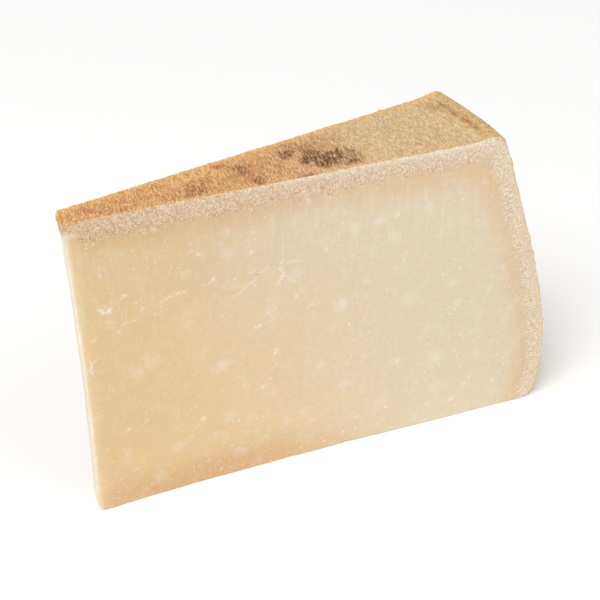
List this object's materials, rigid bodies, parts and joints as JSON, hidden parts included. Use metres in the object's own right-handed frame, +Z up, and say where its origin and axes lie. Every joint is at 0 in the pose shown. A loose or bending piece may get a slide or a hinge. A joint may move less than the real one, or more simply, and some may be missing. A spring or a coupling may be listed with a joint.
{
  "type": "parmesan chunk",
  "caption": "Tall narrow wedge of hard aged cheese with a dry rind over its top and its swelling heel; it stands on its flat lower cut.",
  "frame": {"origin": "centre of the bounding box's base, on the level lower cut that the chunk stands on", "axes": "+X along the wedge from the tip to the rounded heel, -Y towards the front cut face, +Z up towards the rind on top"},
  "size_m": [0.1748, 0.0448, 0.119],
  "materials": {
    "cheese": null
  },
  "bodies": {
    "root": {"cheese_wedge": "cheese"}
  },
  "joints": []
}
